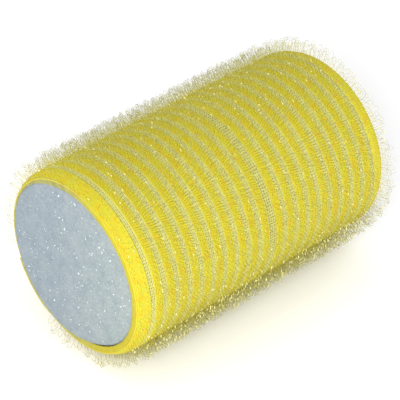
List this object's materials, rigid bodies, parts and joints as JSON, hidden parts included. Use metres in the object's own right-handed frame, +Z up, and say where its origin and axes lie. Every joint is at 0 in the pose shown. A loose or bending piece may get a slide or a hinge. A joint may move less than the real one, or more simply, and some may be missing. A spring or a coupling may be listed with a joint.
{
  "type": "hair roller",
  "caption": "Soft foam-filled self-grip hair roller: a foam cylinder wrapped in striped woven hook tape, with rows of nylon hooks that hold the hair.",
  "frame": {"origin": "on the surface the roller lies on, under its middle: bottom centre of the bounding box", "axes": "+X along the roller's axis, +Z up; the tape's lap is at the lower side towards +Y"},
  "size_m": [0.058, 0.0392, 0.0387],
  "materials": {
    "foam": "open-cell white foam with a bluish tint, cut clean, with glinting cells",
    "ground": "pale yellow woven nylon",
    "hook_yarn": "yellow nylon yarn with clear, slightly glossy nylon hooks"
  },
  "bodies": {
    "root": {"foam_core": "foam", "tape_ground": "ground", "selvedge_left": "hook_yarn", "selvedge_right": "hook_yarn", "hook_row_01": "hook_yarn", "hook_row_02": "hook_yarn", "hook_row_03": "hook_yarn", "hook_row_04": "hook_yarn", "hook_row_05": "hook_yarn", "hook_row_06": "hook_yarn", "hook_row_07": "hook_yarn", "hook_row_08": "hook_yarn", "hook_row_09": "hook_yarn", "hook_row_10": "hook_yarn", "hook_row_11": "hook_yarn", "hook_row_12": "hook_yarn", "hook_row_13": "hook_yarn", "hook_row_14": "hook_yarn", "hook_row_15": "hook_yarn", "hook_row_16": "hook_yarn", "hook_row_17": "hook_yarn", "hook_row_18": "hook_yarn", "hook_row_19": "hook_yarn"}
  },
  "joints": []
}
